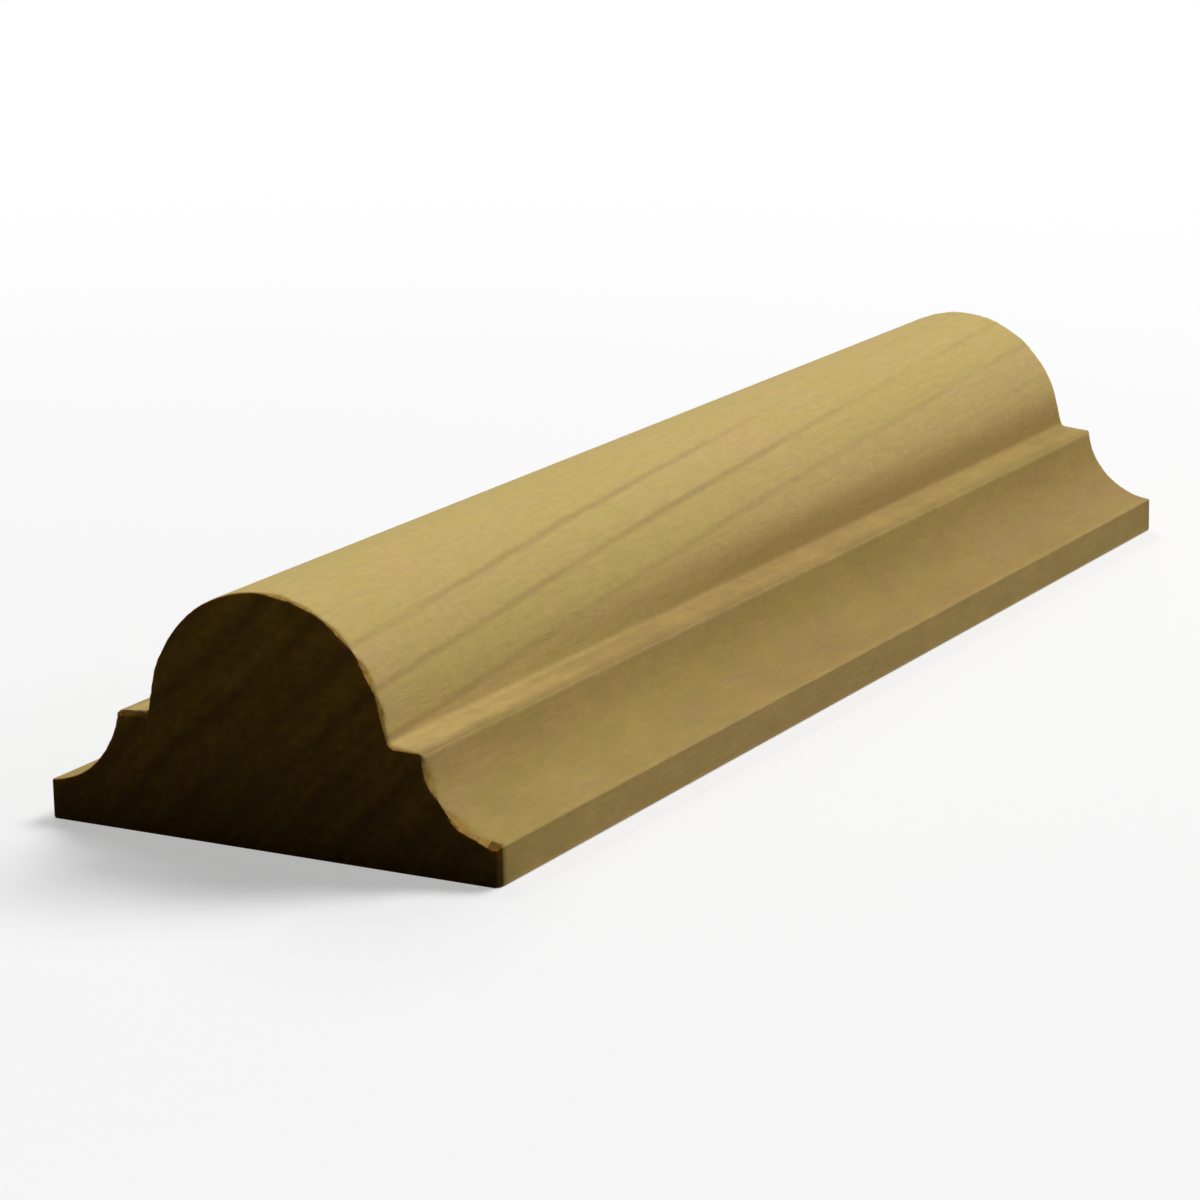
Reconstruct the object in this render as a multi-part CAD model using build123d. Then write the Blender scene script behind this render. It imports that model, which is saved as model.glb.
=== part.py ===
"""A sawn length of wooden astragal moulding: a half-round bead between two flats and two coves, on a flat back.

The strip is one piece of hardwood, run through a moulder and cut square at both ends. It lies on its
flat back. Millimetres; X is across the strip, Y along it, Z up from the back. The origin is the middle
of the back, and the section is the same on both sides of X = 0.
"""
from build123d import *
import math
import os

# The blank
strip_width = 38.1          # across the back: one and a half inches
strip_thickness = 19.05     # back to crown: three quarters of an inch
strip_length = 117.5        # between the two sawn ends

# The bead
bead_radius = 10.0          # half-round rib along the middle
bead_draft = 12.0           # degrees: the bead's foot leans out, so that the knife leaves it cleanly
bead_depth = 9.9            # crown down to the flat beside the bead

# The flat beside the bead, and its outer corner
flat_width = 2.75           # from the bead's foot to the top of the cove
flat_fall = 0.25            # how much the flat drops towards its outer corner

# The cove and the square edge under it
edge_thickness = 3.0        # flat edge that is left below the cove
cove_hollow = 1.55          # how deep the cove sinks below a straight edge laid across it

# Softened corners
root_radius = 0.5           # nose of the knife, where the bead meets the flat
flat_corner_radius = 0.3    # between the flat and the cove
edge_corner_radius = 0.2    # top of the square edge
back_corner_radius = 0.15   # the two long corners of the back


def bead_line(draft):
    """Where the round of the bead ends and its straight foot begins and ends, on the +X side."""
    centre_z = strip_thickness - bead_radius
    flat_z = strip_thickness - bead_depth
    lean = math.radians(draft)
    round_end = Vector(bead_radius * math.cos(lean), centre_z + bead_radius * math.sin(lean))
    foot = Vector(round_end.X + (round_end.Y - flat_z) * math.tan(lean), flat_z)
    return round_end, foot


def moulding_section():
    """The closed section, seen along the strip: X across and the second axis up."""
    crown = Vector(0, strip_thickness)
    round_end, foot = bead_line(bead_draft)
    flat_corner = foot + Vector(flat_width, -flat_fall)
    edge_top = Vector(strip_width / 2, edge_thickness)
    edge_bottom = Vector(strip_width / 2, 0)

    with BuildSketch() as section:
        with BuildLine():
            TangentArc(crown, round_end, tangent=(1, 0))
            Line(round_end, foot)
            Line(foot, flat_corner)
            SagittaArc(flat_corner, edge_top, -cove_hollow)
            Line(edge_top, edge_bottom)
            Line(edge_bottom, (0, 0))
            mirror(about=Plane.YZ)
        make_face()
        soften(section, foot, root_radius)
        soften(section, flat_corner, flat_corner_radius)
        soften(section, edge_top, edge_corner_radius)
        soften(section, edge_bottom, back_corner_radius)
    return section.sketch


def soften(section, corner, radius):
    """Round one corner of the section and its twin on the other side."""
    twin = Vector(-corner.X, corner.Y)
    both = [section.vertices().sort_by_distance(place)[0] for place in (corner, twin)]
    fillet(both, radius)


def moulding():
    """The strip: its section, run along Y and cut square at both ends."""
    across_the_strip = Plane.XZ
    return extrude(across_the_strip * moulding_section(), amount=strip_length / 2, both=True)


os.makedirs("parts", exist_ok=True)
export_step(moulding(), "parts/moulding.step")
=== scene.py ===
import math

import bpy
from bpy.props import FloatProperty, FloatVectorProperty, IntProperty, PointerProperty
from mathutils import Matrix, Vector


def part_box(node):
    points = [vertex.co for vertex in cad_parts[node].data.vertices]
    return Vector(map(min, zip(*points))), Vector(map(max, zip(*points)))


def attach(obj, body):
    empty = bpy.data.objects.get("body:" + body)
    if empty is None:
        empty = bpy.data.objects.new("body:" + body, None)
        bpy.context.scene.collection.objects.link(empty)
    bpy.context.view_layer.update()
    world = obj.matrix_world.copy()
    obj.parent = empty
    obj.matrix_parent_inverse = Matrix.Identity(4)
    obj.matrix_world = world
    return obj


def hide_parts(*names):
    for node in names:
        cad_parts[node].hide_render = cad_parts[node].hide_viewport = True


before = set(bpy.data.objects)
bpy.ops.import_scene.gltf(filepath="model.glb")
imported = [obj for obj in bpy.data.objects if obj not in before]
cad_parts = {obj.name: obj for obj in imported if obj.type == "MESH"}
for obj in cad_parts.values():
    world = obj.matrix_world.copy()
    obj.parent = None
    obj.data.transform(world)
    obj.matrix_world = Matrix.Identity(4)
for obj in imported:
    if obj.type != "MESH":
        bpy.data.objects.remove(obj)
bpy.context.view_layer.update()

bl_info = {
    "name": "Astragal Moulding",
    "version": (1, 0, 0),
    "blender": (4, 5, 0),
    "location": "3D View > Sidebar > Moulding",
    "description": "Runs a sawn length of wooden astragal moulding and sets it in a small studio",
    "category": "Object",
}

STRIP_LOW, STRIP_HIGH = (Vector(corner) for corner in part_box("moulding"))
STRIP_WIDTH = STRIP_HIGH.x - STRIP_LOW.x
STRIP_LENGTH = STRIP_HIGH.y - STRIP_LOW.y
STRIP_THICKNESS = STRIP_HIGH.z - STRIP_LOW.z

BODY = "root"
NODE = "moulding"
MM = 0.001
OUTWARD = "outward"
RUN = "run"
SAWN_FACE = "sawn_face"
TORN = "torn"
BROKEN = "broken"


# Sizes and colours that a user would change

class SectionSizes(bpy.types.PropertyGroup):
    """The section that the moulder's knives cut; its width and thickness come from the frame."""

    bead_radius: FloatProperty(
        name="Bead Radius", description="Radius of the half-round bead",
        default=10.0 * MM, unit="LENGTH", precision=5)
    bead_depth: FloatProperty(
        name="Bead Depth", description="From the crown down to the flat beside the bead",
        default=9.9 * MM, unit="LENGTH", precision=5)
    bead_draft: FloatProperty(
        name="Bead Draft", description="Lean of the bead's foot, which lets the knife leave it cleanly",
        default=math.radians(12.0), unit="ROTATION")
    flat_width: FloatProperty(
        name="Flat Width", description="From the bead's foot to the top of the cove",
        default=2.75 * MM, unit="LENGTH", precision=5)
    flat_fall: FloatProperty(
        name="Flat Fall", description="How much the flat drops towards its outer corner",
        default=0.25 * MM, unit="LENGTH", precision=5)
    edge_thickness: FloatProperty(
        name="Edge Thickness", description="Square edge that is left below the cove",
        default=3.0 * MM, unit="LENGTH", precision=5)
    cove_hollow: FloatProperty(
        name="Cove Hollow", description="How deep the cove sinks below a straight edge laid across it",
        default=1.55 * MM, unit="LENGTH", precision=5)
    root_radius: FloatProperty(
        name="Root Radius", description="Nose of the knife, where the bead meets the flat",
        default=0.5 * MM, unit="LENGTH", precision=5)
    flat_corner_radius: FloatProperty(
        name="Flat Corner Radius", description="Softened corner between the flat and the cove",
        default=0.3 * MM, unit="LENGTH", precision=5)
    edge_corner_radius: FloatProperty(
        name="Edge Corner Radius", description="Softened top corner of the square edge",
        default=0.2 * MM, unit="LENGTH", precision=5)
    back_corner_radius: FloatProperty(
        name="Back Corner Radius", description="Softened long corners of the back",
        default=0.15 * MM, unit="LENGTH", precision=5)


class SawnEnds(bpy.types.PropertyGroup):
    """What the saw leaves on the two cut ends."""

    chip_length: FloatProperty(
        name="Chip Length", description="Usual length of a chip along the arris",
        default=3.1 * MM, unit="LENGTH", precision=5)
    chip_reach: FloatProperty(
        name="Chip Reach", description="How far the largest chip runs back over the planed wood",
        default=0.85 * MM, unit="LENGTH", precision=5)
    chip_depth: FloatProperty(
        name="Chip Depth", description="How deep the largest chip bites into the section",
        default=0.30 * MM, unit="LENGTH", precision=5)
    corner_break: FloatProperty(
        name="Corner Break", description="Width of wood broken off the near end's left flat and right edge",
        default=0.40 * MM, unit="LENGTH", precision=5)
    arris: FloatProperty(
        name="Arris", description="Width of the ragged edge where nothing is chipped",
        default=0.05 * MM, unit="LENGTH", precision=5)
    rows_along: IntProperty(
        name="Rows Along", description="Mesh rows from end to end, crowded towards the ends",
        default=72, min=8)
    rows_up: IntProperty(
        name="Rows Up", description="Mesh rows from back to crown, crowded towards the crown",
        default=36, min=4)
    seed: IntProperty(name="Seed", description="Changes where the chips fall", default=4)


class Timber(bpy.types.PropertyGroup):
    """The growth rings and colours of the wood."""

    ring_spacing: FloatProperty(
        name="Ring Spacing", description="Thickness of one year's growth",
        default=3.35 * MM, unit="LENGTH", precision=5)
    ring_lean: FloatProperty(
        name="Ring Lean", description="Slope of the rings across the sawn end",
        default=math.radians(43.0), unit="ROTATION")
    ring_climb: FloatProperty(
        name="Ring Climb", description="How fast the rings run out through the strip along its length",
        default=0.079)
    ring_bend: FloatProperty(
        name="Ring Bend", description="How the climb eases along the strip, for each metre", default=0.12)
    ring_start: FloatProperty(
        name="Ring Start", description="Distance of the first ring line from the back's near middle",
        default=6.72 * MM, unit="LENGTH", precision=5)
    pink: FloatVectorProperty(
        name="Pinkish Tan", description="Warmer patches of the planed wood", subtype="COLOR", size=3,
        min=0.0, max=1.0, default=(0.546, 0.382, 0.140))
    olive: FloatVectorProperty(
        name="Yellow Olive", description="Greener patches of the planed wood", subtype="COLOR", size=3,
        min=0.0, max=1.0, default=(0.521, 0.388, 0.120))
    # painted shade: the tint that darkens the coves, flats, square edges and the bead's foot, where less
    # light falls
    hollow_shade_tint: FloatVectorProperty(
        name="Hollow Shade Tint", description="What the knives take from the wood's colour in the coves",
        subtype="COLOR", size=3, min=0.0, max=1.0, default=(0.62, 0.575, 0.46))
    dark_year: FloatProperty(
        name="Dark Year", description="Year whose ring line is darkest, counted from the first", default=1.2)
    late: FloatVectorProperty(
        name="Late Wood", description="The thin dark line that ends each ring", subtype="COLOR", size=3,
        min=0.0, max=1.0, default=(0.290, 0.185, 0.062))
    torn: FloatVectorProperty(
        name="Torn Wood", description="Broken fibres where the arris has chipped", subtype="COLOR", size=3,
        min=0.0, max=1.0, default=(0.560, 0.345, 0.088))
    sawn: FloatVectorProperty(
        name="Sawn Wood", description="The rough end grain", subtype="COLOR", size=3,
        min=0.0, max=1.0, default=(0.290, 0.156, 0.014))
    sawn_late: FloatVectorProperty(
        name="Sawn Late Wood", description="Ring bands on the rough end grain", subtype="COLOR", size=3,
        min=0.0, max=1.0, default=(0.135, 0.068, 0.007))


class Studio(bpy.types.PropertyGroup):
    """Where the camera stands, and the light."""

    azimuth: FloatProperty(
        name="Azimuth", description="Camera direction: zero looks along the strip from its near end",
        default=math.radians(29.64), unit="ROTATION")
    elevation: FloatProperty(
        name="Elevation", description="Camera height above the horizon",
        default=math.radians(14.34), unit="ROTATION")
    roll: FloatProperty(
        name="Roll", description="Turn of the camera about its line of sight",
        default=math.radians(-1.13), unit="ROTATION")
    key_level: FloatProperty(
        name="Key Level",
        description="Light of the main panel, behind the strip, on a surface facing it; one is white",
        default=0.95)
    left_level: FloatProperty(
        name="Left Level", description="Light of the panel behind the strip on its left", default=0.27)
    side_level: FloatProperty(
        name="Side Level", description="Light of the low panel on the right", default=0.27)


# Node trees

class Graph:
    """A node tree being wired: add hands back its node, and the others hand back the output to wire on."""

    def __init__(self, tree):
        self.tree = tree

    def feed(self, socket, value):
        if isinstance(value, bpy.types.NodeSocket):
            self.tree.links.new(value, socket)
        else:
            socket.default_value = value

    def add(self, kind, inputs=(), **settings):
        """Add a node; settings are its own properties, and inputs maps socket names or places to values."""
        node = self.tree.nodes.new(kind)
        column = len(self.tree.nodes) - 1
        node.location = (200 * (column // 4), -240 * (column % 4))
        for name, value in settings.items():
            setattr(node, name, value)
        for socket, value in dict(inputs).items():
            self.feed(node.inputs[socket], value)
        return node

    def maths(self, operation, *values):
        return self.add("ShaderNodeMath", enumerate(values), operation=operation).outputs[0]

    def vectors(self, operation, *values):
        return self.add("ShaderNodeVectorMath", enumerate(values), operation=operation).outputs[0]

    def scale(self, vector, factor):
        return self.add("ShaderNodeVectorMath", {0: vector, "Scale": factor}, operation="SCALE").outputs[0]

    def combine(self, x=0.0, y=0.0, z=0.0):
        return self.add("ShaderNodeCombineXYZ", {0: x, 1: y, 2: z}).outputs[0]

    def separate(self, vector):
        return self.add("ShaderNodeSeparateXYZ", {0: vector}).outputs

    def noise(self, vector, scale, detail=2.0, roughness=0.5):
        values = {"Vector": vector, "Scale": scale, "Detail": detail, "Roughness": roughness}
        return self.add("ShaderNodeTexNoise", values).outputs["Fac"]

    def ramp(self, value, low, high, to_low=0.0, to_high=1.0):
        """Map value from low..high to to_low..to_high, clamped, with soft ends."""
        inputs = {"Value": value, "From Min": low, "From Max": high, "To Min": to_low, "To Max": to_high}
        return self.add("ShaderNodeMapRange", inputs, interpolation_type="SMOOTHSTEP").outputs[0]

    def step(self, value, centre, half_width, to_low=0.0, to_high=1.0):
        """A soft step at centre, which may be a socket."""
        low, high = self.maths("SUBTRACT", centre, half_width), self.maths("ADD", centre, half_width)
        return self.ramp(value, low, high, to_low, to_high)

    def product(self, first, *others):
        """Multiply any number of values."""
        for other in others:
            first = self.maths("MULTIPLY", first, other)
        return first

    def mix(self, factor, first, second, blend="MIX"):
        """Mix two colours."""
        node = self.add("ShaderNodeMix", {"Factor": factor}, data_type="RGBA", blend_type=blend)
        self.feed(node.inputs[6], first)
        self.feed(node.inputs[7], second)
        return node.outputs[2]


def new_group(kind, name, inputs, outputs):
    """An empty node group with its named sockets, its graph, and its inputs and output node."""
    tree = bpy.data.node_groups.new(name, kind)
    for socket_name, socket_type, default in inputs:
        socket = tree.interface.new_socket(socket_name, in_out="INPUT", socket_type=socket_type)
        if default is not None:
            socket.default_value = default
    for socket_name, socket_type in outputs:
        tree.interface.new_socket(socket_name, in_out="OUTPUT", socket_type=socket_type)
    graph = Graph(tree)
    source = graph.add("NodeGroupInput")
    return tree, graph, {socket.name: socket for socket in source.outputs}


def finish_group(graph, values):
    """Wire the named outputs of a group."""
    graph.add("NodeGroupOutput", values)


def set_inputs(modifier, values):
    """Give a Geometry Nodes modifier its values, by the identifiers of its sockets."""
    for item in modifier.node_group.interface.items_tree:
        if item.item_type == "SOCKET" and item.in_out == "INPUT" and item.name in values:
            modifier[item.identifier] = values[item.name]


def placed(graph, group, inputs):
    """Use a shader group in another graph."""
    node = graph.add("ShaderNodeGroup", node_tree=group)
    for name, value in inputs.items():
        graph.feed(node.inputs[name], value)
    return node.outputs


# The section

def arc(centre, radius, start, end, steps):
    """Points on an arc, from the start angle to the end angle, both included."""
    turn = [start + (end - start) * step / steps for step in range(steps + 1)]
    return [centre + radius * Vector((math.cos(angle), math.sin(angle))) for angle in turn]


def stretch(first, last, steps):
    """Points on a straight run, both ends included."""
    return [first.lerp(last, step / steps) for step in range(steps + 1)]


def softened(before, corner, after, radius, steps):
    """The arc that rounds a corner between the lines from before and to after."""
    inward, outward = (before - corner).normalized(), (after - corner).normalized()
    half = inward.angle(outward) / 2
    centre = corner + (inward + outward).normalized() * (radius / math.sin(half))
    first, last = (corner + way * (radius / math.tan(half)) for way in (inward, outward))
    start = math.atan2(*(first - centre).yx)
    turn = (first - centre).angle_signed(last - centre)
    return arc(centre, radius, start, start - turn, steps)


def cove_arc(top, bottom, hollow, steps):
    """The hollow curve between two corners, sunk below the straight line from one to the other."""
    chord = bottom - top
    radius = (chord.length_squared / 4 + hollow ** 2) / (2 * hollow)
    towards_air = Vector((-chord.y, chord.x)).normalized()
    centre = (top + bottom) / 2 + towards_air * (radius - hollow)
    start = math.atan2(*(top - centre).yx)
    turn = (top - centre).angle_signed(bottom - centre)
    return arc(centre, radius, start, start - turn, steps)


def bead_arc(sizes, steps):
    """The round of the bead, from the crown to where its straight foot begins."""
    centre = Vector((0.0, STRIP_THICKNESS - sizes.bead_radius))
    return arc(centre, sizes.bead_radius, math.pi / 2, sizes.bead_draft, steps)


def flat_corners(sizes):
    """The flat's two corners: at the bead's foot, and at the top of the cove."""
    round_end = bead_arc(sizes, 1)[-1]
    flat_top = STRIP_THICKNESS - sizes.bead_depth
    foot = Vector((round_end.x + (round_end.y - flat_top) * math.tan(sizes.bead_draft), flat_top))
    return foot, foot + Vector((sizes.flat_width, -sizes.flat_fall))


def right_outline(sizes):
    """The right half of the moulded outline, from the crown to the top of the square edge."""
    crown_steps, foot_steps, flat_steps, cove_steps, corner_steps = 62, 6, 10, 36, 6
    bead = bead_arc(sizes, crown_steps)
    round_end = bead[-1]
    foot, flat_corner = flat_corners(sizes)
    edge_top = Vector((STRIP_WIDTH / 2, sizes.edge_thickness))
    edge_bottom = Vector((STRIP_WIDTH / 2, 0.0))
    cove = cove_arc(flat_corner, edge_top, sizes.cove_hollow, cove_steps)

    root = softened(round_end, foot, flat_corner, sizes.root_radius, corner_steps)
    shoulder = softened(foot, flat_corner, cove[1], sizes.flat_corner_radius, corner_steps)
    edge = softened(cove[-2], edge_top, edge_bottom, sizes.edge_corner_radius, corner_steps)
    kept_cove = [point for point in cove
                 if point.y < shoulder[-1].y and point.x < edge[0].x]
    runs = [bead[:-1], stretch(round_end, root[0], foot_steps)[:-1], root[:-1],
            stretch(root[-1], shoulder[0], flat_steps)[:-1], shoulder, kept_cove, edge]
    return [point for run in runs for point in run]


def section_outline(sizes):
    """The whole moulded outline, from the left edge over the crown to the right edge."""
    right = right_outline(sizes)
    left = [Vector((-point.x, point.y)) for point in reversed(right[1:])]
    return left + right


def outline_mesh(name, outline):
    """The outline as a chain of points at mid length, each with its outward way and its run so far."""
    mesh = bpy.data.meshes.new(name)
    mesh.from_pydata([(point.x, 0.0, point.y) for point in outline],
                     [(index, index + 1) for index in range(len(outline) - 1)], [])
    mesh.attributes.new(OUTWARD, "FLOAT_VECTOR", "POINT")
    mesh.attributes.new(RUN, "FLOAT", "POINT")
    outward, run = mesh.attributes[OUTWARD], mesh.attributes[RUN]
    ends = {0: Vector((-1.0, 0.0)), len(outline) - 1: Vector((1.0, 0.0))}
    for index in range(len(outline)):
        along = outline[min(index + 1, len(outline) - 1)] - outline[max(index - 1, 0)]
        normal = ends.get(index, Vector((-along.y, along.x)).normalized())
        outward.data[index].vector = (normal.x, 0.0, normal.y)
        if index:
            run.data[index].value = run.data[index - 1].value + (outline[index] - outline[index - 1]).length
    return mesh


# The strip

def at_point(graph, geometry, value, index, kind="FLOAT_VECTOR"):
    """A value of the section's point with that index."""
    node = graph.add("GeometryNodeSampleIndex", data_type=kind, domain="POINT")
    graph.feed(node.inputs["Geometry"], geometry)
    graph.feed(node.inputs["Value"], value)
    graph.feed(node.inputs["Index"], index)
    return node.outputs[0]


def named_value(graph, name, kind):
    """A value that points or faces carry under a name."""
    return graph.add("GeometryNodeInputNamedAttribute", {"Name": name}, data_type=kind).outputs["Attribute"]


def marked(graph, geometry, name, chosen, domain="POINT"):
    """Mark the chosen points or faces under a name."""
    return graph.add("GeometryNodeStoreNamedAttribute", {
        "Geometry": geometry, "Name": name, "Value": chosen},
        data_type="BOOLEAN", domain=domain).outputs["Geometry"]


def block_of_columns(graph, given):
    """A block with one column for each point of the section, and the number of spans between them."""
    counted = graph.add("GeometryNodeAttributeDomainSize", {"Geometry": given["Section"]}, component="MESH")
    columns = counted.outputs["Point Count"]
    spans = graph.maths("SUBTRACT", columns, 1.0)
    block = graph.add("GeometryNodeMeshCube", {
        "Size": graph.combine(spans, 2.0, 1.0), "Vertices X": columns,
        "Vertices Y": graph.maths("ADD", given["Rows Along"], 1.0),
        "Vertices Z": graph.maths("ADD", given["Rows Up"], 1.0)})
    facing = graph.separate(graph.add("GeometryNodeInputNormal").outputs[0])
    is_end = graph.maths("GREATER_THAN", graph.maths("ABSOLUTE", facing["Y"]), 0.5)
    return marked(graph, block.outputs["Mesh"], SAWN_FACE, is_end, "FACE"), spans


def width_left(graph, given, height):
    """Share of the width that is left at a height, where the back's long corners are rounded."""
    radius = given["Back Corner Radius"]
    under = graph.maths("MAXIMUM", graph.maths("SUBTRACT", radius, height), 0.0)
    rise = graph.maths("SQRT", graph.maths("SUBTRACT", graph.product(radius, radius),
                                           graph.product(under, under)))
    drawn_in = graph.maths("SUBTRACT", radius, rise)
    return graph.maths("SUBTRACT", 1.0, graph.maths("DIVIDE", drawn_in, given["Half Width"]))


def strip_places(graph, given, spans):
    """Each point's side of the middle, its distance from that end, and its place on the section.

    Rows are crowded towards the sawn ends, and up each column towards the moulded face.
    """
    place = graph.separate(graph.add("GeometryNodeInputPosition").outputs[0])
    from_left = graph.maths("ADD", place["X"], graph.maths("DIVIDE", spans, 2.0))
    column = graph.add("FunctionNodeFloatToInt", {0: from_left}, rounding_mode="ROUND").outputs[0]
    top = graph.separate(at_point(
        graph, given["Section"], graph.add("GeometryNodeInputPosition").outputs[0], column))
    side = graph.maths("SIGN", place["Y"])
    end_share = graph.maths("POWER", graph.maths("SUBTRACT", 1.0, graph.maths("ABSOLUTE", place["Y"])), 2.0)
    from_end = graph.product(graph.maths("DIVIDE", given["Length"], 2.0), end_share)
    down_share = graph.maths("POWER", graph.maths("SUBTRACT", 0.5, place["Z"]), 2.0)
    height = graph.maths("SUBTRACT", top["Z"], graph.product(top["Z"], down_share))
    across = graph.product(top["X"], width_left(graph, given, height))
    return side, from_end, across, height


def below_the_face(graph, given, across, height):
    """How deep a point lies below the nearest face, which way is out there, and that face's run."""
    in_section = graph.combine(across, 0.0, height)
    to_moulded = graph.add("GeometryNodeProximity", {0: given["Section"], "Source Position": in_section},
                           target_element="EDGES").outputs["Distance"]
    nearest = graph.add("GeometryNodeSampleNearest", {
        "Geometry": given["Section"], "Sample Position": in_section}, domain="POINT").outputs[0]
    outward = at_point(graph, given["Section"], named_value(graph, OUTWARD, "FLOAT_VECTOR"), nearest)
    run = at_point(graph, given["Section"], named_value(graph, RUN, "FLOAT"), nearest, "FLOAT")
    to_edge = graph.maths("SUBTRACT", given["Half Width"], graph.maths("ABSOLUTE", across))
    nearer_edge = graph.maths("LESS_THAN", to_edge, to_moulded)
    sideways = graph.combine(graph.maths("SIGN", across), 0.0, 0.0)
    outward = graph.vectors("ADD", graph.scale(outward, graph.maths("SUBTRACT", 1.0, nearer_edge)),
                            graph.scale(sideways, nearer_edge))
    return graph.maths("MINIMUM", to_moulded, to_edge), outward, run


def chip_share(graph, on_arris, side, across):
    """Long shallow scallops along a sawn arris, small where the saw went in; one is the largest chip."""
    spread, narrowness, smallest = 0.8, 1.9, 0.35
    entry_share, turnover = 0.15, 4 * MM
    cells = graph.add("ShaderNodeTexVoronoi", {"W": on_arris, "Scale": 1.0, "Randomness": spread},
                      voronoi_dimensions="1D")
    own_depth = graph.ramp(graph.separate(cells.outputs["Color"])["X"], 0.1, 0.7, smallest, 1.0)
    from_middle = graph.maths("POWER", graph.product(cells.outputs["Distance"], narrowness), 2.0)
    scallop = graph.maths("MAXIMUM", graph.maths("SUBTRACT", 1.0, from_middle), 0.0)
    towards_exit = graph.product(across, side, -1.0)
    return graph.product(own_depth, scallop, graph.ramp(towards_exit, -turnover, turnover, entry_share, 1.0))


def broken_off_share(graph, given, side, across):
    """One where the near end's left flat and right edge have lost their arris altogether."""
    soft_end, edge_from, edge_whole = 0.4 * MM, 1.3 * MM, 0.8 * MM
    leftwards = graph.product(across, -1.0)
    on_flat = graph.product(graph.step(leftwards, given["Flat From"], soft_end),
                            graph.step(leftwards, given["Flat To"], soft_end, 1.0, 0.0))
    on_edge = graph.ramp(across, graph.maths("SUBTRACT", given["Half Width"], edge_from),
                         graph.maths("SUBTRACT", given["Half Width"], edge_whole))
    return graph.product(graph.maths("MAXIMUM", on_flat, on_edge), graph.maths("LESS_THAN", side, 0.0))


def arris_loss(graph, given, side, across, run):
    """How far back and how deep wood is lost from the sawn arris, and the share that is broken off."""
    seed_stride, fibres_in_chip = 37.0, 7.0
    on_arris = graph.maths("ADD", graph.maths("DIVIDE", run, given["Chip Length"]),
                           graph.product(graph.maths("ADD", given["Seed"], side), seed_stride))
    chip = chip_share(graph, on_arris, side, across)
    fibres = graph.noise(graph.combine(graph.product(on_arris, fibres_in_chip), side, 0.0), 1.0)
    ragged = graph.product(given["Arris"], graph.ramp(fibres, 0.35, 0.65, 0.4, 1.8))
    broken_share = broken_off_share(graph, given, side, across)
    broken = graph.product(given["Corner Break"], broken_share, graph.ramp(fibres, 0.35, 0.65, 0.85, 1.15))
    reach, depth = (
        graph.maths("ADD", ragged, graph.maths("MAXIMUM", broken, graph.product(chip, given[name])))
        for name in ("Chip Reach", "Chip Depth"))
    return reach, depth, broken_share


def strip_tree():
    """Geometry Nodes that run a section along the strip, cut it at both ends and chip its arrises."""
    inputs = {
        "NodeSocketGeometry": ("Section",),
        "NodeSocketFloat": ("Length", "Half Width", "Back Corner Radius", "Flat From", "Flat To",
                            "Arris", "Chip Depth", "Chip Reach", "Chip Length", "Corner Break"),
        "NodeSocketInt": ("Rows Along", "Rows Up", "Seed"),
        "NodeSocketMaterial": ("Planed Wood", "Torn Wood", "Sawn Wood")}
    tree, graph, given = new_group(
        "GeometryNodeTree", "run_moulding",
        [(name, kind, None) for kind, names in inputs.items() for name in names],
        [("Strip", "NodeSocketGeometry")])

    block, spans = block_of_columns(graph, given)
    side, from_end, across, height = strip_places(graph, given, spans)
    from_middle = graph.maths("SUBTRACT", graph.maths("DIVIDE", given["Length"], 2.0), from_end)
    straight = graph.combine(across, graph.product(side, from_middle), height)
    sunk, outward, run = below_the_face(graph, given, across, height)
    reach, depth, broken_share = arris_loss(graph, given, side, across, run)

    # a chip is a slope from its reach along the strip to its depth below the face; what is above it moves in
    above = graph.maths("SUBTRACT", graph.maths("SUBTRACT", 1.0, graph.maths("DIVIDE", from_end, reach)),
                        graph.maths("DIVIDE", sunk, depth))
    bite = graph.maths("DIVIDE", graph.maths("MAXIMUM", above, 0.0), -2.0)
    inwards = graph.vectors("ADD", graph.scale(outward, graph.product(bite, depth)),
                            graph.combine(0.0, graph.product(bite, reach, side), 0.0))
    is_torn = graph.maths("GREATER_THAN", above, 0.0)
    is_broken = graph.product(graph.maths("GREATER_THAN", broken_share, 0.5), is_torn)
    chipped = graph.add("GeometryNodeSetPosition", {
        "Geometry": marked(graph, marked(graph, block, TORN, is_torn), BROKEN, is_broken),
        "Position": straight, "Offset": inwards})

    # finish: smooth faces, one mesh, planed wood with sawn ends
    smooth = graph.add("GeometryNodeSetShadeSmooth", {"Geometry": chipped.outputs[0]})
    real = graph.add("GeometryNodeRealizeInstances", {"Geometry": smooth.outputs[0]})
    coated = graph.add("GeometryNodeSetMaterial", {
        "Geometry": real.outputs[0], "Material": given["Planed Wood"]})
    for mark, wood in ((SAWN_FACE, "Sawn Wood"), (TORN, "Torn Wood"), (BROKEN, "Sawn Wood")):
        coated = graph.add("GeometryNodeSetMaterial", {
            "Geometry": coated.outputs[0], "Selection": named_value(graph, mark, "BOOLEAN"),
            "Material": given[wood]})
    finish_group(graph, {"Strip": coated.outputs[0]})
    return tree


def plain_mesh(source, tree, values, name):
    """Run a tree on the source object, and give it the result as its own plain mesh."""
    modifier = source.modifiers.new(tree.name, "NODES")
    modifier.node_group = tree
    set_inputs(modifier, values)
    bpy.context.view_layer.update()
    depsgraph = bpy.context.evaluated_depsgraph_get()
    mesh = bpy.data.meshes.new_from_object(source.evaluated_get(depsgraph), depsgraph=depsgraph)
    mesh.name = name
    if mesh.materials[0] is None:
        mesh.materials.pop(index=0)
    old = source.data
    source.modifiers.remove(modifier)
    source.data = mesh
    bpy.data.meshes.remove(old)


def drop_attributes(mesh, names):
    """Working attributes don't belong in the finished mesh."""
    for name in names:
        if name in mesh.attributes:
            mesh.attributes.remove(mesh.attributes[name])


# Wood materials

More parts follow.
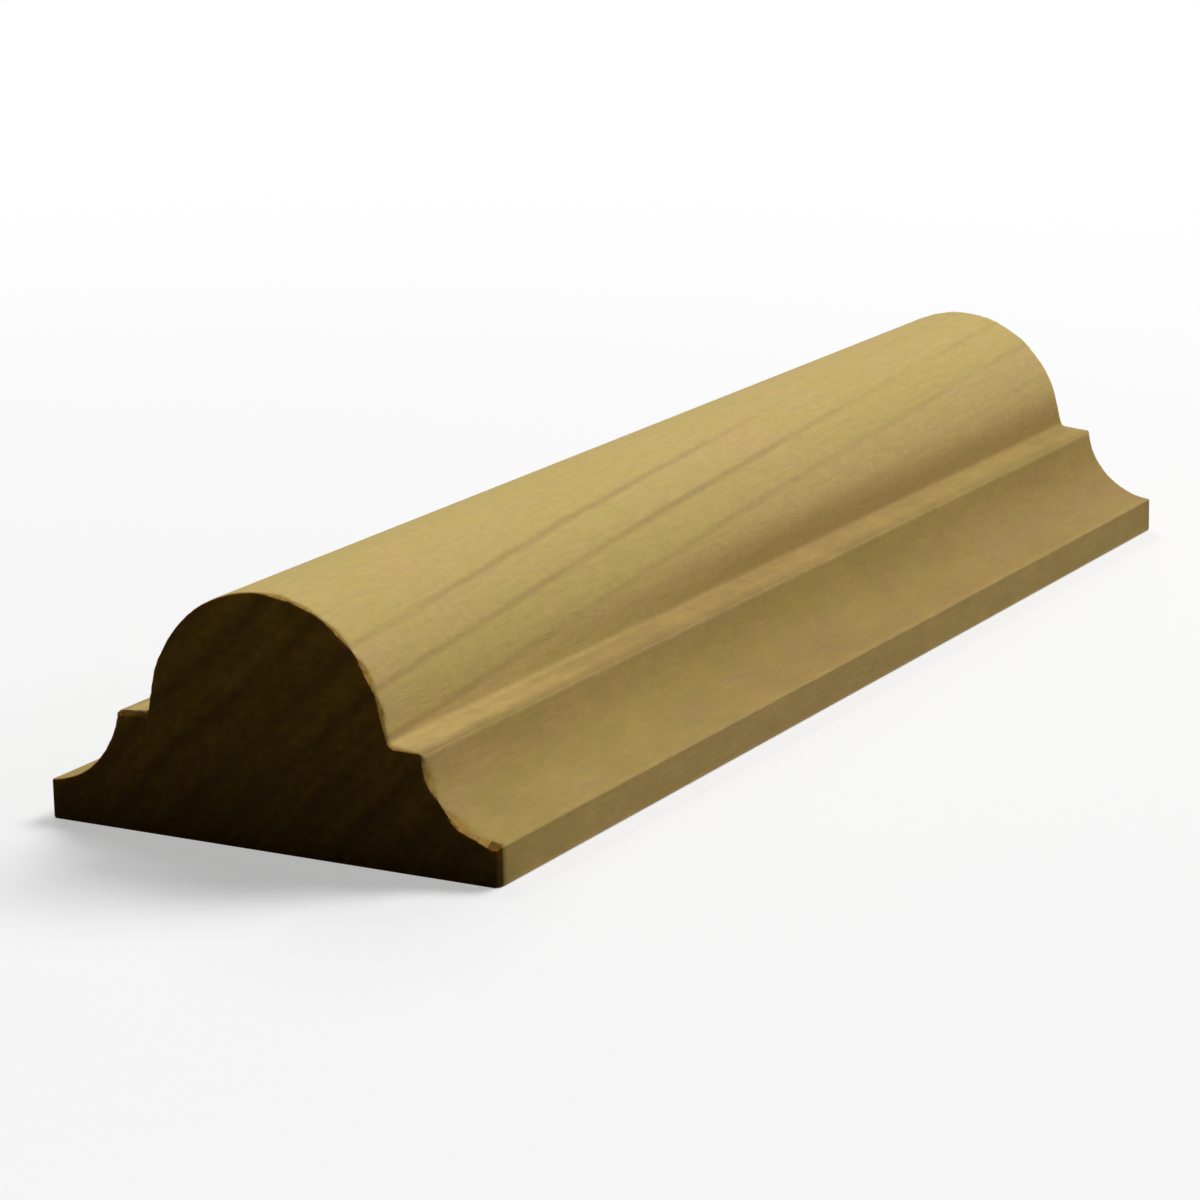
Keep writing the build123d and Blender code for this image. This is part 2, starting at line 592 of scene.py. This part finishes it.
def growth_rings_group():
    """Rings as gently bent leaning layers: a thin line at each year's end, and each year's own tone."""
    tree, graph, given = new_group(
        "ShaderNodeTree", "growth_rings",
        [("Vector", "NodeSocketVector", None), ("Spacing", "NodeSocketFloat", None),
         ("Lean", "NodeSocketFloat", None), ("Climb", "NodeSocketFloat", None),
         ("Bend", "NodeSocketFloat", None), ("Start", "NodeSocketFloat", None),
         ("Waviness", "NodeSocketFloat", 0.07), ("Line Width", "NodeSocketFloat", 0.15)],
        [("Line", "NodeSocketFloat"), ("Year Tone", "NodeSocketFloat"), ("Layer", "NodeSocketFloat"),
         ("Along Ring", "NodeSocketFloat")])
    place = graph.separate(given["Vector"])
    along = graph.maths("ADD", place["Y"], STRIP_LENGTH / 2)
    sine, cosine = graph.maths("SINE", given["Lean"]), graph.maths("COSINE", given["Lean"])
    across = graph.maths("SUBTRACT", graph.product(place["X"], sine), graph.product(place["Z"], cosine))
    climbed = graph.product(along, graph.maths(
        "SUBTRACT", given["Climb"], graph.product(along, given["Bend"])))
    depth = graph.maths("ADD", graph.maths("ADD", across, climbed), given["Start"])
    years = graph.maths("DIVIDE", depth, given["Spacing"])
    long_grain = graph.vectors("MULTIPLY", given["Vector"], (1.0, 0.16, 1.0))
    slow = graph.maths("SUBTRACT", graph.noise(long_grain, 90.0, 1.0), 0.5)
    quick = graph.maths("SUBTRACT", graph.noise(long_grain, 700.0, 2.0), 0.5)
    wave = graph.product(given["Waviness"], graph.maths(
        "ADD", graph.product(slow, 3.0), graph.product(quick, 1.6)))
    layer = graph.maths("ADD", years, wave)
    year = graph.maths("ROUND", layer)
    off_line = graph.maths("SUBTRACT", layer, year)
    line = graph.ramp(graph.maths("ABSOLUTE", off_line), 0.0, given["Line Width"], 1.0, 0.0)
    tone = graph.add("ShaderNodeTexWhiteNoise", {"W": graph.maths("FLOOR", layer)},
                     noise_dimensions="1D").outputs["Value"]
    along_ring = graph.maths("ADD", graph.product(place["X"], cosine), graph.product(place["Z"], sine))
    finish_group(graph, {"Line": line, "Year Tone": tone, "Layer": layer, "Along Ring": along_ring})
    return tree


def fibre_group():
    """Fine streaks along the grain, and the short dark pores among them."""
    tree, graph, given = new_group(
        "ShaderNodeTree", "wood_fibre",
        [("Vector", "NodeSocketVector", None), ("Streak Width", "NodeSocketFloat", 0.20 * MM),
         ("Streak Stretch", "NodeSocketFloat", 7.0), ("Pore Width", "NodeSocketFloat", 0.12 * MM),
         ("Pore Stretch", "NodeSocketFloat", 9.0)],
        [("Streaks", "NodeSocketFloat"), ("Pores", "NodeSocketFloat")])

    def along_grain(width, stretch_factor):
        """The place squeezed along the strip, and the noise scale that gives grains of that width."""
        squeezed = graph.combine(1.0, graph.maths("DIVIDE", 1.0, stretch_factor), 1.0)
        vector = graph.vectors("MULTIPLY", given["Vector"], squeezed)
        return vector, graph.maths("DIVIDE", 1.0, graph.product(width, 2.0))

    vector, scale = along_grain(given["Streak Width"], given["Streak Stretch"])
    streaks = graph.noise(vector, scale, 2.0, 0.6)
    vector, scale = along_grain(given["Pore Width"], given["Pore Stretch"])
    pores = graph.ramp(graph.noise(vector, scale, 1.0, 0.5), 0.60, 0.74)
    finish_group(graph, {"Streaks": streaks, "Pores": pores})
    return tree


def new_material(name):
    """An empty material with its graph and its surface shader's node."""
    material = bpy.data.materials.new(name)
    material.use_nodes = True
    material.node_tree.nodes.clear()
    graph = Graph(material.node_tree)
    surface = graph.add("ShaderNodeBsdfPrincipled")
    graph.add("ShaderNodeOutputMaterial", {"Surface": surface.outputs[0]})
    return material, graph, surface


def opaque(colour):
    """A colour with full alpha, as a socket wants it."""
    return (*colour, 1.0)


def ring_values(timber, vector):
    """The rings' inputs, the same in every material, so that lines meet at the arrises."""
    return {"Vector": vector, "Spacing": timber.ring_spacing, "Lean": timber.ring_lean,
            "Climb": timber.ring_climb, "Bend": timber.ring_bend, "Start": timber.ring_start}


def shaded(graph, colour, *shares):
    """A colour times every share."""
    shade = graph.product(*shares)
    return graph.mix(1.0, colour, graph.combine(shade, shade, shade), "MULTIPLY")


def light_inside(surface, weight, radius, scale):
    """Let light wander a little way through the fibres."""
    surface.inputs["Subsurface Weight"].default_value = weight
    surface.inputs["Subsurface Radius"].default_value = radius
    surface.inputs["Subsurface Scale"].default_value = scale


def olive_share(graph, vector, place, rings):
    """Zero where the wood is pinkish and one where it is olive, in long patches, fine flecks and years."""
    patch_place = graph.combine(graph.product(rings["Layer"], 0.35), graph.product(place["Y"], 28.0),
                                graph.product(place["X"], 60.0))
    patches = graph.noise(patch_place, 1.0, 5.0, 0.6)
    flecks = graph.noise(graph.vectors("MULTIPLY", vector, (1.0, 0.6, 1.0)), 430.0, 4.0, 0.7)
    toned = graph.maths("SUBTRACT", graph.product(patches, 1.4), graph.product(rings["Year Tone"], 0.4))
    toned = graph.maths("ADD", toned, graph.product(graph.maths("SUBTRACT", flecks, 0.5), 1.8))
    return graph.ramp(toned, 0.23, 0.78)


def line_strength(graph, vector, place, rings, dark_year):
    """How dark the ring lines are: most in a few years, less over the crown and towards the far end."""
    uneven = graph.noise(graph.vectors("MULTIPLY", vector, (1.0, 0.25, 1.0)), 140.0)
    from_dark_year = graph.maths("ABSOLUTE", graph.maths("SUBTRACT", rings["Layer"], dark_year))
    from_crown = graph.maths("ABSOLUTE", place["X"])
    return graph.product(graph.ramp(uneven, 0.3, 0.7, 0.14, 0.52),
                         graph.ramp(from_dark_year, 1.1, 2.4, 1.0, 0.2),
                         graph.ramp(from_crown, 2 * MM, 5.5 * MM, 0.3, 1.0),
                         graph.ramp(place["Y"], -10 * MM, 35 * MM, 1.0, 0.6))


def painted_hollow_shade(graph, place, sizes):
    """How much painted shade darkens the coves, flats, square edges and the bead's foot, with where the face
    is off the bead and where on the flat.
    """
    foot, flat_corner = flat_corners(sizes)
    across, along, up = graph.maths("ABSOLUTE", place["X"]), place["Y"], place["Z"]
    near_end, edge_top = -STRIP_LENGTH / 2, sizes.edge_thickness
    off_bead = graph.ramp(across, foot.x - 0.1 * MM, foot.x + 0.6 * MM)
    on_flat = graph.ramp(up, flat_corner.y - 0.20 * MM, flat_corner.y - 0.06 * MM)

    # painted shade on the bead only by its foot, and hardly at the near end
    foot_share = graph.product(graph.ramp(across, foot.x - 1.5 * MM, foot.x - 0.1 * MM),
                               graph.ramp(up, foot.y + 0.8 * MM, foot.y + 5.0 * MM, 1.0, 0.0),
                               graph.ramp(along, near_end, 10 * MM, 0.1, 0.9))
    # painted shade on the flat fully at its outer corner, and elsewhere more away from the near end
    flat_share = graph.ramp(up, flat_corner.y, flat_corner.y + 0.10 * MM, 1.0,
                            graph.ramp(along, near_end, -20 * MM, 0.14, 0.74))
    # painted shade in the cove, less just under the flat's corner; the square edge below it evenly, but not
    # at the back
    cove_share = graph.product(
        graph.ramp(along, near_end, 0.0, 0.80, 1.0),
        graph.ramp(up, flat_corner.y - 0.55 * MM, flat_corner.y - 0.12 * MM, 1.0, 0.1),
        graph.ramp(up, flat_corner.y - 1.9 * MM, flat_corner.y - 0.3 * MM, 1.0, 0.80))
    side_share = graph.product(
        graph.ramp(up, edge_top - 0.1 * MM, edge_top + 0.1 * MM, 0.66, cove_share),
        graph.ramp(up, 0.0, 0.4 * MM))
    off_flat = graph.maths("SUBTRACT", 1.0, on_flat)
    off_share = graph.maths("ADD", graph.product(on_flat, flat_share),
                            graph.product(off_flat, side_share))
    on_bead = graph.maths("SUBTRACT", 1.0, off_bead)
    painted_shade = graph.maths("ADD", graph.product(on_bead, foot_share), graph.product(off_bead, off_share))
    return painted_shade, off_bead, on_flat


def planed_wood(timber, sizes, rings_group, fibres_group):
    """Raw wood as the moulder leaves it: tan with greener patches, thin ring lines, fine fibre, and painted
    shade in the hollows beside the bead.
    """
    material, graph, surface = new_material("planed_wood")
    vector = graph.add("ShaderNodeTexCoord").outputs["Object"]
    place = graph.separate(vector)
    rings = placed(graph, rings_group, ring_values(timber, vector))
    fibres = placed(graph, fibres_group, {"Vector": vector})
    painted_shade, off_bead, on_flat = painted_hollow_shade(graph, place, sizes)

    olive = olive_share(graph, vector, place, rings)
    colour = graph.mix(olive, opaque(timber.pink), opaque(timber.olive))
    strength = graph.product(line_strength(graph, vector, place, rings, timber.dark_year),
                             graph.maths("SUBTRACT", 1.0, off_bead), rings["Line"])
    colour = graph.mix(strength, colour, opaque(timber.late))

    # painted shade darkens the coves, flats, square edges and the bead's foot, more away from the near end;
    # the coves and flats are also more mottled than the bead
    shade_colour = graph.mix(painted_shade, opaque((1.0, 1.0, 1.0)), opaque(timber.hollow_shade_tint))
    colour = graph.mix(1.0, colour, shade_colour, "MULTIPLY")
    bruises = graph.noise(graph.vectors("MULTIPLY", vector, (1.0, 0.45, 1.0)), 320.0, 4.0, 0.65)
    bruised = graph.product(off_bead, graph.ramp(on_flat, 0.0, 1.0, 0.42, 0.75))
    bruise_shade = graph.maths("ADD", 1.0, graph.product(graph.maths("SUBTRACT", bruises, 0.5), bruised))
    streak_shade = graph.ramp(fibres["Streaks"], 0.25, 0.75, 0.94, 1.05)
    pore_shade = graph.maths("SUBTRACT", 1.0, graph.product(fibres["Pores"], 0.04))
    mottle_shade = graph.ramp(graph.noise(vector, 1600.0, 3.0, 0.6), 0.25, 0.75, 0.96, 1.04)
    graph.feed(surface.inputs["Base Color"],
               shaded(graph, colour, streak_shade, pore_shade, mottle_shade, bruise_shade))
    graph.feed(surface.inputs["Roughness"], graph.ramp(fibres["Streaks"], 0.2, 0.8, 0.68, 0.80))
    surface.inputs["Specular IOR Level"].default_value = 0.12
    height = graph.maths("SUBTRACT", graph.product(fibres["Streaks"], 0.6), fibres["Pores"])
    bump = graph.add("ShaderNodeBump", {"Height": height, "Strength": 0.35, "Distance": 0.03 * MM})
    graph.feed(surface.inputs["Normal"], bump.outputs[0])
    return material


def sawn_wood(timber, rings_group):
    """The sawn ends: rough and much darker, with broad ring bands and faint saw scratches."""
    material, graph, surface = new_material("sawn_wood")
    vector = graph.add("ShaderNodeTexCoord").outputs["Object"]
    rings = placed(graph, rings_group, {**ring_values(timber, vector), "Line Width": 0.34, "Waviness": 0.16})
    band_place = graph.combine(graph.product(rings["Layer"], 2.2),
                               graph.product(rings["Along Ring"], 90.0), 0.0)
    bands = graph.ramp(graph.noise(band_place, 1.0, 2.0, 0.5), 0.35, 0.65)
    scratches = graph.noise(graph.vectors("MULTIPLY", vector, (120.0, 0.0, 1800.0)), 1.0, 2.0)
    mottle = graph.noise(vector, 1300.0, 3.0, 0.6)
    blotches = graph.noise(vector, 260.0, 2.0)
    broken_line = graph.product(rings["Line"], graph.ramp(blotches, 0.3, 0.6, 0.5, 1.0))
    dark = graph.maths("ADD", graph.product(bands, 0.45), graph.product(broken_line, 0.55))
    colour = graph.mix(dark, opaque(timber.sawn), opaque(timber.sawn_late))
    graph.feed(surface.inputs["Base Color"], shaded(
        graph, colour, graph.ramp(scratches, 0.3, 0.7, 0.93, 1.07),
        graph.ramp(mottle, 0.25, 0.75, 0.86, 1.14), graph.ramp(blotches, 0.3, 0.7, 0.88, 1.12)))
    surface.inputs["Roughness"].default_value = 0.85
    surface.inputs["Specular IOR Level"].default_value = 0.15
    light_inside(surface, 0.5, (1.0, 0.35, 0.06), 0.9 * MM)
    height = graph.maths("ADD", scratches, mottle)
    bump = graph.add("ShaderNodeBump", {"Height": height, "Strength": 0.5, "Distance": 0.08 * MM})
    graph.feed(surface.inputs["Normal"], bump.outputs[0])
    return material


def torn_wood(timber, fibres_group):
    """Broken fibres along a chipped arris: raw like the planed wood, but rougher and more amber."""
    material, graph, surface = new_material("torn_wood")
    vector = graph.add("ShaderNodeTexCoord").outputs["Object"]
    fibres = placed(graph, fibres_group, {"Vector": vector, "Streak Stretch": 3.0})
    streak_shade = graph.ramp(fibres["Streaks"], 0.25, 0.75, 0.80, 1.15)
    graph.feed(surface.inputs["Base Color"], shaded(graph, opaque(timber.torn), streak_shade))
    surface.inputs["Roughness"].default_value = 0.85
    surface.inputs["Specular IOR Level"].default_value = 0.0
    light_inside(surface, 0.25, (1.0, 0.40, 0.08), 0.6 * MM)
    bump = graph.add("ShaderNodeBump", {
        "Height": fibres["Streaks"], "Strength": 0.5, "Distance": 0.06 * MM})
    graph.feed(surface.inputs["Normal"], bump.outputs[0])
    return material


# The stage

PANEL_DISTANCE = 3.2
PANEL_SIZE = 1.5
FLOOR_SIZE = 8.0
WHITE = (1.0, 1.0, 1.0, 1.0)


def seen_directly(graph):
    """One for rays that the camera, a reflection or a clear piece sends, zero for light that bounces."""
    path = graph.add("ShaderNodeLightPath").outputs
    return graph.maths("MAXIMUM", path["Is Camera Ray"],
                       graph.maths("MAXIMUM", path["Is Glossy Ray"], path["Is Transmission Ray"]))


def floor_material():
    """Pale floor that keeps the strip's shadow, and throws little light back at the sawn end."""
    material = bpy.data.materials.new("studio_floor")
    material.use_nodes = True
    material.node_tree.nodes.clear()
    graph = Graph(material.node_tree)
    lit = graph.add("ShaderNodeBsdfDiffuse", {"Color": (0.95, 0.95, 0.95, 1.0)})
    glow = graph.add("ShaderNodeEmission", {"Color": WHITE, "Strength": 1.0})
    place = graph.add("ShaderNodeTexCoord").outputs["Object"]
    distance = graph.add("ShaderNodeVectorMath", {0: place}, operation="LENGTH").outputs["Value"]
    glow_share = graph.ramp(distance, 80 * MM, 300 * MM, 0.45, 1.0)
    pale = graph.add("ShaderNodeMixShader", {0: glow_share, 1: lit.outputs[0], 2: glow.outputs[0]})
    past_end = graph.maths("SUBTRACT", graph.maths("ABSOLUTE", graph.separate(place)["Y"]), STRIP_LENGTH / 2)
    bounce = graph.maths("MAXIMUM", graph.ramp(past_end, 0.0, 60 * MM, 0.03, 0.35),
                         graph.ramp(past_end, -2 * MM, 0.0, 0.33, 0.0))
    dark = graph.add("ShaderNodeBsdfDiffuse", {"Color": graph.combine(bounce, bounce, bounce)})
    both = graph.add("ShaderNodeMixShader", {
        0: seen_directly(graph), 1: dark.outputs[0], 2: pale.outputs[0]})
    graph.add("ShaderNodeOutputMaterial", {"Surface": both.outputs[0]})
    return material


def add_floor(scene):
    """A wide floor under the strip's back."""
    half = FLOOR_SIZE / 2
    mesh = bpy.data.meshes.new("studio_floor")
    mesh.from_pydata([(-half, -half, 0.0), (half, -half, 0.0), (half, half, 0.0), (-half, half, 0.0)], [],
                     [(0, 1, 2, 3)])
    floor = bpy.data.objects.new("studio_floor", mesh)
    mesh.materials.append(floor_material())
    scene.collection.objects.link(floor)


def add_panel(scene, name, azimuth, elevation, level):
    """A square soft panel aimed at the strip; level is what it adds to a surface facing it, one being white.

    Azimuth is counted from +X, to the right across the strip, towards +Y, its far end.
    """
    lamp = bpy.data.lights.new(name, "AREA")
    lamp.shape = "SQUARE"
    lamp.size = PANEL_SIZE
    lamp.energy = level * (math.pi * PANEL_DISTANCE) ** 2
    panel = bpy.data.objects.new(name, lamp)
    turn = Matrix.Rotation(azimuth, 4, "Z") @ Matrix.Rotation(math.pi / 2 - elevation, 4, "Y")
    panel.matrix_world = turn @ Matrix.Translation((0.0, 0.0, PANEL_DISTANCE))
    scene.collection.objects.link(panel)


def add_world(scene):
    """White to the camera, and only a faint fill on the strip."""
    world = bpy.data.worlds.new("studio_world")
    world.use_nodes = True
    world.node_tree.nodes.clear()
    graph = Graph(world.node_tree)
    fill = graph.add("ShaderNodeBackground", {"Color": WHITE, "Strength": 0.002})
    white = graph.add("ShaderNodeBackground", {"Color": WHITE, "Strength": 1.0})
    both = graph.add("ShaderNodeMixShader", {
        0: seen_directly(graph), 1: fill.outputs[0], 2: white.outputs[0]})
    graph.add("ShaderNodeOutputWorld", {"Surface": both.outputs[0]})
    scene.world = world


def add_camera(scene, studio):
    """A long lens; the frame's middle falls on the aim point."""
    aim = Vector((-4.20, -3.21, 5.20)) * MM
    distance = 350.1 * MM
    camera = bpy.data.cameras.new("photo_camera")
    camera.sensor_width = 36.0
    camera.lens = 127.46
    camera.clip_start = 0.01
    stand = bpy.data.objects.new("photo_camera", camera)
    turn = (Matrix.Rotation(studio.azimuth, 4, "Z")
            @ Matrix.Rotation(math.pi / 2 - studio.elevation, 4, "X")
            @ Matrix.Rotation(studio.roll, 4, "Z"))
    stand.matrix_world = Matrix.Translation(aim) @ turn @ Matrix.Translation((0.0, 0.0, distance))
    scene.collection.objects.link(stand)
    scene.camera = stand


# Operators

class MOULDING_OT_run_strip(bpy.types.Operator):
    """Run the moulding's section along the strip and saw it at both ends"""

    bl_idname = "moulding.run_strip"
    bl_label = "Run the Strip"

    def execute(self, context):
        scene = context.scene
        sizes, ends, timber = scene.moulding_section, scene.moulding_ends, scene.moulding_timber
        rings_group, fibres_group = growth_rings_group(), fibre_group()
        planed = planed_wood(timber, sizes, rings_group, fibres_group)
        sawn = sawn_wood(timber, rings_group)
        torn = torn_wood(timber, fibres_group)
        outline = outline_mesh("moulding_outline", section_outline(sizes))
        strip = bpy.data.objects.new("moulded_strip", outline)
        scene.collection.objects.link(strip)
        foot, flat_corner = flat_corners(sizes)
        plain_mesh(strip, strip_tree(), {
            "Length": STRIP_LENGTH, "Half Width": STRIP_WIDTH / 2, "Rows Along": ends.rows_along,
            "Rows Up": ends.rows_up, "Back Corner Radius": sizes.back_corner_radius,
            "Arris": ends.arris, "Chip Depth": ends.chip_depth, "Chip Reach": ends.chip_reach,
            "Chip Length": ends.chip_length, "Corner Break": ends.corner_break, "Flat From": foot.x,
            "Flat To": flat_corner.x, "Seed": ends.seed, "Planed Wood": planed, "Torn Wood": torn,
            "Sawn Wood": sawn}, "moulded_strip")
        drop_attributes(strip.data, (OUTWARD, RUN, SAWN_FACE, TORN, BROKEN))
        strip.data.set_sharp_from_angle(angle=math.radians(35.0))
        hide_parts(NODE)
        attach(strip, BODY)
        return {"FINISHED"}


class MOULDING_OT_set_stage(bpy.types.Operator):
    """Set the floor, the light and the camera round the strip"""

    bl_idname = "moulding.set_stage"
    bl_label = "Set the Stage"

    def execute(self, context):
        scene = context.scene
        studio = scene.moulding_studio
        add_floor(scene)
        for name, azimuth, elevation, level in (("key_panel", 70.0, 50.0, studio.key_level),
                                                ("left_panel", 135.0, 40.0, studio.left_level),
                                                ("side_panel", 42.0, 20.0, studio.side_level)):
            add_panel(scene, name, math.radians(azimuth), math.radians(elevation), level)
        add_world(scene)
        add_camera(scene, studio)
        scene.view_settings.view_transform = "Standard"
        return {"FINISHED"}


class MOULDING_PT_panel(bpy.types.Panel):
    """The steps in order, with their sizes"""

    bl_label = "Astragal Moulding"
    bl_idname = "MOULDING_PT_panel"
    bl_space_type = "VIEW_3D"
    bl_region_type = "UI"
    bl_category = "Moulding"

    def draw(self, context):
        scene = context.scene
        for operator in STEPS:
            self.layout.operator(operator.bl_idname)
        for group in (getattr(scene, name) for name in GROUPS):
            box = self.layout.box()
            for name in group.__annotations__:
                box.prop(group, name)


GROUPS = {"moulding_section": SectionSizes, "moulding_ends": SawnEnds, "moulding_timber": Timber,
          "moulding_studio": Studio}
STEPS = (MOULDING_OT_run_strip, MOULDING_OT_set_stage)
CLASSES = (*GROUPS.values(), *STEPS, MOULDING_PT_panel)


def register():
    for cls in CLASSES:
        bpy.utils.register_class(cls)
    for name, cls in GROUPS.items():
        setattr(bpy.types.Scene, name, PointerProperty(type=cls))


def unregister():
    for name in GROUPS:
        delattr(bpy.types.Scene, name)
    for cls in reversed(CLASSES):
        bpy.utils.unregister_class(cls)


def main():
    register()
    bpy.ops.moulding.run_strip()
    bpy.ops.moulding.set_stage()


if __name__ == "__main__":
    main()
